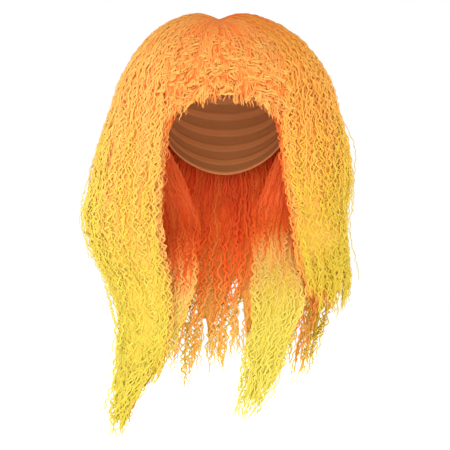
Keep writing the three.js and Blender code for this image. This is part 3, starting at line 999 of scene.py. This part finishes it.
def mat_group():
    """Tangled hair as a pattern on a mat: wavy rows of strands with painted shade in the gaps between them.
    """
    look = MAT_LOOK
    name = "Tangled hair"
    if name in bpy.data.node_groups:
        return bpy.data.node_groups[name]
    group, tree, given, out = new_group(
        name,
        {"Strands across": 300.0, "Inside": 0.0, "Dark strands": 1.12, "Light strands": 0.86},
        {"Color": "NodeSocketColor", "Roughness": "NodeSocketFloat", "Height": "NodeSocketFloat"},
    )
    place = tree.add("UVMap", uv_map=MAP).outputs["UV"]
    split = tree.add("SeparateXYZ", place).outputs
    across = tree.math("MULTIPLY", split["X"], given.outputs["Strands across"])
    patch_across = tree.math("MULTIPLY", across, look["squiggle_across"])
    patch_down = tree.math("MULTIPLY", split["Y"], look["squiggle_rows"])
    patch = tree.add("CombineXYZ", patch_across, patch_down)
    squiggle = tree.noise(patch.outputs[0], (1.0, 1.0, 1.0), 1.0)
    across = tree.math("ADD", across, tree.math("MULTIPLY", squiggle, look["squiggle"]))
    tone = tree.random(tree.math("FLOOR", across))
    ridge = tree.math("MULTIPLY", tree.math("PINGPONG", across, 0.5), 2.0)
    shift = tree.math("MULTIPLY", tree.math("SUBTRACT", tone, 0.5), DYE_SPREAD["long"])
    dyed = dye_ramp(tree, tree.math("ADD", split["Y"], shift))
    lift = tree.math("MULTIPLY", tree.math("SQRT", ridge), tree.scaled(look["lowest"], 1.0, tone))
    clump = tree.noise(place, look["clump_size"], look["clump_detail"])
    # Painted shade: the tint darkens where the lift is low, in the gaps between the pattern's strands and on
    # its lower ones.
    tint = tree.scaled(given.outputs["Dark strands"], given.outputs["Light strands"], lift)
    tint = tree.math("ADD", tint, tree.scaled(look["clump"], -look["clump"], clump))
    # Painted shade over the mat's inner side, and over all of it by the share given.
    from_inside = tree.math("ABSOLUTE", tree.math("SUBTRACT", split["X"], look["inside"]))
    edge = look["inside_edge"]
    deep = tree.add("MapRange", from_inside, *edge, interpolation_type="SMOOTHSTEP").outputs[0]
    deep = tree.math("MAXIMUM", deep, given.outputs["Inside"])
    tree.put(out.inputs["Color"], tree.add("Gamma", shaded(tree, dyed, deep, split["Y"]), tint).outputs[0])
    tree.put(out.inputs["Roughness"], tree.scaled(*look["roughness"], tone))
    tree.put(out.inputs["Height"], lift)
    return group


def hair_material(name, group, values, bump):
    """A hair material that takes its colour, roughness and relief from a group."""
    if name in bpy.data.materials:
        return bpy.data.materials[name]
    material = bpy.data.materials.new(name)
    material.use_nodes = True
    tree = Tree(material.node_tree)
    shader = material.node_tree.nodes["Principled BSDF"]
    pattern = tree.add("Group", node_tree=group)
    for socket, value in values.items():
        pattern.inputs[socket].default_value = value
    tree.put(shader.inputs["Base Color"], pattern.outputs["Color"])
    tree.put(shader.inputs["Roughness"], pattern.outputs["Roughness"])
    relief = tree.add("Bump")
    relief.inputs["Strength"].default_value = HAIR_RELIEF
    relief.inputs["Distance"].default_value = bump
    tree.put(relief.inputs["Height"], pattern.outputs["Height"])
    tree.put(shader.inputs["Normal"], relief.outputs["Normal"])
    shader.inputs["Specular IOR Level"].default_value = HAIR_SHEEN
    return material


def strand_material(name, spread, tones):
    values = {"Dye spread": spread, "Dark strands": tones[0], "Light strands": tones[1]}
    return hair_material(name, strand_group(), values, STRAND_LOOK["relief"])


def mat_material(name, across, inside=0.0):
    values = {"Strands across": across, "Inside": inside}
    return hair_material(name, mat_group(), values, MAT_LOOK["relief"])


def cap_material():
    """Stretch net with rows of sewn tracks."""
    look = NET_LOOK
    colour = colours().cap
    material = bpy.data.materials.new("Cap net")
    material.use_nodes = True
    tree = Tree(material.node_tree)
    shader = material.node_tree.nodes["Principled BSDF"]
    place = tree.add("UVMap", uv_map=MAP).outputs["UV"]
    split = tree.add("SeparateXYZ", place).outputs
    track = tree.math("PINGPONG", tree.math("MULTIPLY", split["Y"], look["tracks"]), 0.5)
    edge = look["track_edge"]
    track = tree.add("MapRange", track, *edge, 1.0, 0.0, interpolation_type="SMOOTHSTEP").outputs[0]
    thread = tree.math("SINE", tree.math("MULTIPLY", split["X"], look["threads"]))
    crossing = tree.math("SINE", tree.math("MULTIPLY", split["Y"], look["thread_rows"]))
    weave = tree.math("MULTIPLY", thread, crossing)
    weave = tree.math("ADD", tree.math("MULTIPLY", weave, 0.5), 0.5)
    net = tree.mix("MIX", weave, opaque(colour, look["net"]), opaque(colour))
    sewn = tree.mix("MIX", weave, *(opaque(colour, shade) for shade in look["sewn"]))
    tree.put(shader.inputs["Base Color"], tree.mix("MIX", track, net, sewn))
    tree.put(shader.inputs["Roughness"], tree.scaled(*look["roughness"], track))
    relief = tree.add("Bump")
    relief.inputs["Strength"].default_value = look["strength"]
    relief.inputs["Distance"].default_value = look["relief"]
    threads = tree.math("MULTIPLY", weave, look["weave_height"])
    tree.put(relief.inputs["Height"], tree.math("ADD", track, threads))
    tree.put(shader.inputs["Normal"], relief.outputs["Normal"])
    return material


class WIG_OT_cap(bpy.types.Operator):
    """Make the stretch cap that carries the hair"""

    bl_idname = "wig.cap"
    bl_label = "Cap"

    def execute(self, context):
        bpy.ops.object.select_all(action="DESELECT")
        bpy.ops.mesh.primitive_uv_sphere_add(segments=CAP["segments"], ring_count=CAP["rings"], radius=1)
        cap = context.object
        cap.name = cap.data.name = "cap_net"
        mesh = cap.data
        bpy.ops.object.mode_set(mode="EDIT")
        bpy.ops.mesh.select_all(action="DESELECT")
        bpy.ops.object.mode_set(mode="OBJECT")
        for vertex in mesh.vertices:
            vertex.select = vertex.co.z < -1e-4
        bpy.ops.object.mode_set(mode="EDIT")
        bpy.ops.mesh.delete(type="VERT")
        bpy.ops.object.mode_set(mode="OBJECT")
        layer = mesh.uv_layers.active
        layer.name = MAP
        for vertex in mesh.vertices:
            x, y, z = vertex.co
            round_angle = math.atan2(x, -y)
            rim = math.radians(CAP["rim_side_deg"] - CAP["rim_swing_deg"] * math.cos(round_angle))
            from_crown = rim * math.acos(min(1.0, z)) / (math.pi / 2)
            out = math.sin(from_crown)
            vertex.co = (
                HEAD["half_width"] * out * math.sin(round_angle) * MM,
                -HEAD["half_depth"] * out * math.cos(round_angle) * MM,
                HEAD["half_height"] * (math.cos(from_crown) - 1) * MM,
            )
        wall = cap.modifiers.new("Wall", "SOLIDIFY")
        wall.thickness = CAP["wall"] * MM
        wall.offset = 1
        bpy.ops.object.modifier_apply(modifier=wall.name)
        bpy.ops.object.shade_smooth()
        mesh.materials.clear()
        mesh.materials.append(cap_material())
        settle(cap, "cap")
        return {"FINISHED"}


class WIG_OT_fringe(bpy.types.Operator):
    """Make the short curls over the forehead"""

    bl_idname = "wig.fringe"
    bl_label = "Fringe"

    def execute(self, context):
        rng = np.random.default_rng(SEED)
        strands = StrandMesh()
        lay(strands, curtain_guide, FRINGE, FRINGE_BATCHES, rng, FRINGE.fade)
        lay_tufts(strands, FRINGE, rng)
        material = strand_material("Fringe strands", DYE_SPREAD["fringe"], TONE_RANGE["left"])
        settle(strands.make("fringe_curls", material), "fringe")
        mat = mat_piece("fringe_mat", FRINGE, mat_material("Fringe mat", FRINGE.mat_strands))
        settle(mat, "fringe")
        return {"FINISHED"}


def make_side(name, seed, curtain, tail):
    """A side curtain: its outer curls, the shaded hair inside, the tail and their mats."""
    rng = np.random.default_rng(seed)
    node = name + "_hair"
    material = strand_material(name.title() + " strands", DYE_SPREAD["long"], TONE_RANGE[name])
    outer = StrandMesh()
    lay(outer, curtain_guide, curtain, SIDE_BATCHES, rng)
    settle(outer.make(name + "_curls", material), node)
    inner = StrandMesh()
    lay(inner, curtain_guide, curtain, INNER_BATCHES, rng)
    lay(inner, tail_guide, tail, TAIL_BATCHES, rng, TAIL_FADE, TAIL_DYE[name])
    material = strand_material("Tail strands", DYE_SPREAD["long"], TONE_RANGE["tail"])
    settle(inner.make(name + "_tail_curls", material), node)
    material = mat_material("Side mat", curtain.mat_strands)
    settle(mat_piece(name + "_mat", curtain, material), node)
    material = mat_material("Tail mat", TAIL_MAT["strands"], TAIL_MAT["inside"])
    settle(tail_mat(name + "_tail_mat", tail, material, TAIL_DYE[name]), node)


class WIG_OT_left_hair(bpy.types.Operator):
    """Make the side curtain on the left with its tail"""

    bl_idname = "wig.left_hair"
    bl_label = "Left hair"

    def execute(self, context):
        make_side("left", SEED + 1, LEFT, LEFT_TAIL)
        return {"FINISHED"}


class WIG_OT_right_hair(bpy.types.Operator):
    """Make the side curtain on the right with its tail"""

    bl_idname = "wig.right_hair"
    bl_label = "Right hair"

    def execute(self, context):
        make_side("right", SEED + 2, RIGHT, RIGHT_TAIL)
        return {"FINISHED"}


class WIG_OT_back_hair(bpy.types.Operator):
    """Make the curtain behind"""

    bl_idname = "wig.back_hair"
    bl_label = "Back hair"

    def execute(self, context):
        rng = np.random.default_rng(SEED + 3)
        strands = StrandMesh()
        lay(strands, curtain_guide, BACK, BACK_BATCHES, rng)
        material = strand_material("Back strands", DYE_SPREAD["long"], TONE_RANGE["left"])
        settle(strands.make("back_curls", material), "back_hair")
        inner = StrandMesh()
        lay(inner, curtain_guide, BACK, NAPE_BATCHES, rng)
        settle(inner.make("nape_curls", material), "back_hair")
        material = mat_material("Back mat", BACK.mat_strands)
        settle(mat_piece("back_mat", BACK, material), "back_hair")
        return {"FINISHED"}


class WIG_OT_stage(bpy.types.Operator):
    """Set up the camera, the floor and the light"""

    bl_idname = "wig.stage"
    bl_label = "Stage"

    def execute(self, context):
        scene = context.scene
        stage = scene.wig_stage
        scene.view_settings.view_transform = "Standard"
        place = (0, -stage.distance, stage.view_height)
        bpy.ops.object.camera_add(location=place, rotation=(math.pi / 2, 0, 0))
        camera = context.object
        camera.data.sensor_width = SENSOR
        camera.data.lens = SENSOR * stage.distance / stage.view_width
        scene.camera = camera
        bpy.ops.mesh.primitive_plane_add(size=FLOOR_SIZE, location=(0, 0, stage.floor))
        floor = context.object
        floor.name = "floor"
        floor.data.materials.append(self.floor_material())
        for name, setting, location in LIGHTS:
            self.add_light(name, getattr(stage, setting), location)
        scene.world = self.surround(stage.sky)
        return {"FINISHED"}

    def surround(self, strength):
        """A white surround that lights the hair less than it shows."""
        world = bpy.data.worlds.new("Surround")
        world.use_nodes = True
        sky = world.node_tree.nodes["Background"]
        sky.inputs["Color"].default_value = WHITE
        tree = Tree(world.node_tree)
        seen = tree.add("LightPath").outputs["Is Camera Ray"]
        tree.put(sky.inputs["Strength"], tree.scaled(strength, 1.0, seen))
        return world

    def floor_material(self):
        material = bpy.data.materials.new("Pale floor")
        material.use_nodes = True
        shader = material.node_tree.nodes["Principled BSDF"]
        shader.inputs["Base Color"].default_value = FLOOR_LOOK["colour"]
        shader.inputs["Roughness"].default_value = FLOOR_LOOK["roughness"]
        shader.inputs["Emission Color"].default_value = WHITE
        shader.inputs["Emission Strength"].default_value = FLOOR_LOOK["glow"]
        return material

    def add_light(self, name, power, location):
        bpy.ops.object.light_add(type="AREA", location=location)
        light = bpy.context.object
        light.name = name
        light.data.energy = power
        light.data.size = LIGHT_SIZE
        aim = -light.location.copy()
        aim.z += bpy.context.scene.wig_stage.view_height
        light.rotation_euler = aim.to_track_quat("-Z", "Y").to_euler()


class WIG_PT_panel(bpy.types.Panel):
    """Lists the pieces of the wig and their settings"""

    bl_idname = "WIG_PT_panel"
    bl_label = "Curly Wig"
    bl_space_type = "VIEW_3D"
    bl_region_type = "UI"
    bl_category = "Wig"

    def draw(self, context):
        for operator in OPERATORS:
            self.layout.operator(operator.bl_idname)
        for group in (context.scene.wig_curl, context.scene.wig_colours, context.scene.wig_stage):
            box = self.layout.box()
            for name in group.__annotations__:
                box.prop(group, name)


SETTINGS = {"wig_curl": CurlSettings, "wig_colours": ColourSettings, "wig_stage": StageSettings}
OPERATORS = (
    WIG_OT_stage,
    WIG_OT_cap,
    WIG_OT_fringe,
    WIG_OT_left_hair,
    WIG_OT_right_hair,
    WIG_OT_back_hair,
)


def register():
    for cls in (*SETTINGS.values(), *OPERATORS, WIG_PT_panel):
        bpy.utils.register_class(cls)
    for name, cls in SETTINGS.items():
        setattr(bpy.types.Scene, name, bpy.props.PointerProperty(type=cls))


def unregister():
    for name in SETTINGS:
        delattr(bpy.types.Scene, name)
    for cls in (WIG_PT_panel, *OPERATORS, *SETTINGS.values()):
        bpy.utils.unregister_class(cls)


def main():
    register()
    bpy.ops.wig.stage()
    bpy.ops.wig.cap()
    bpy.ops.wig.fringe()
    bpy.ops.wig.left_hair()
    bpy.ops.wig.right_hair()
    bpy.ops.wig.back_hair()


if __name__ == "__main__":
    main()
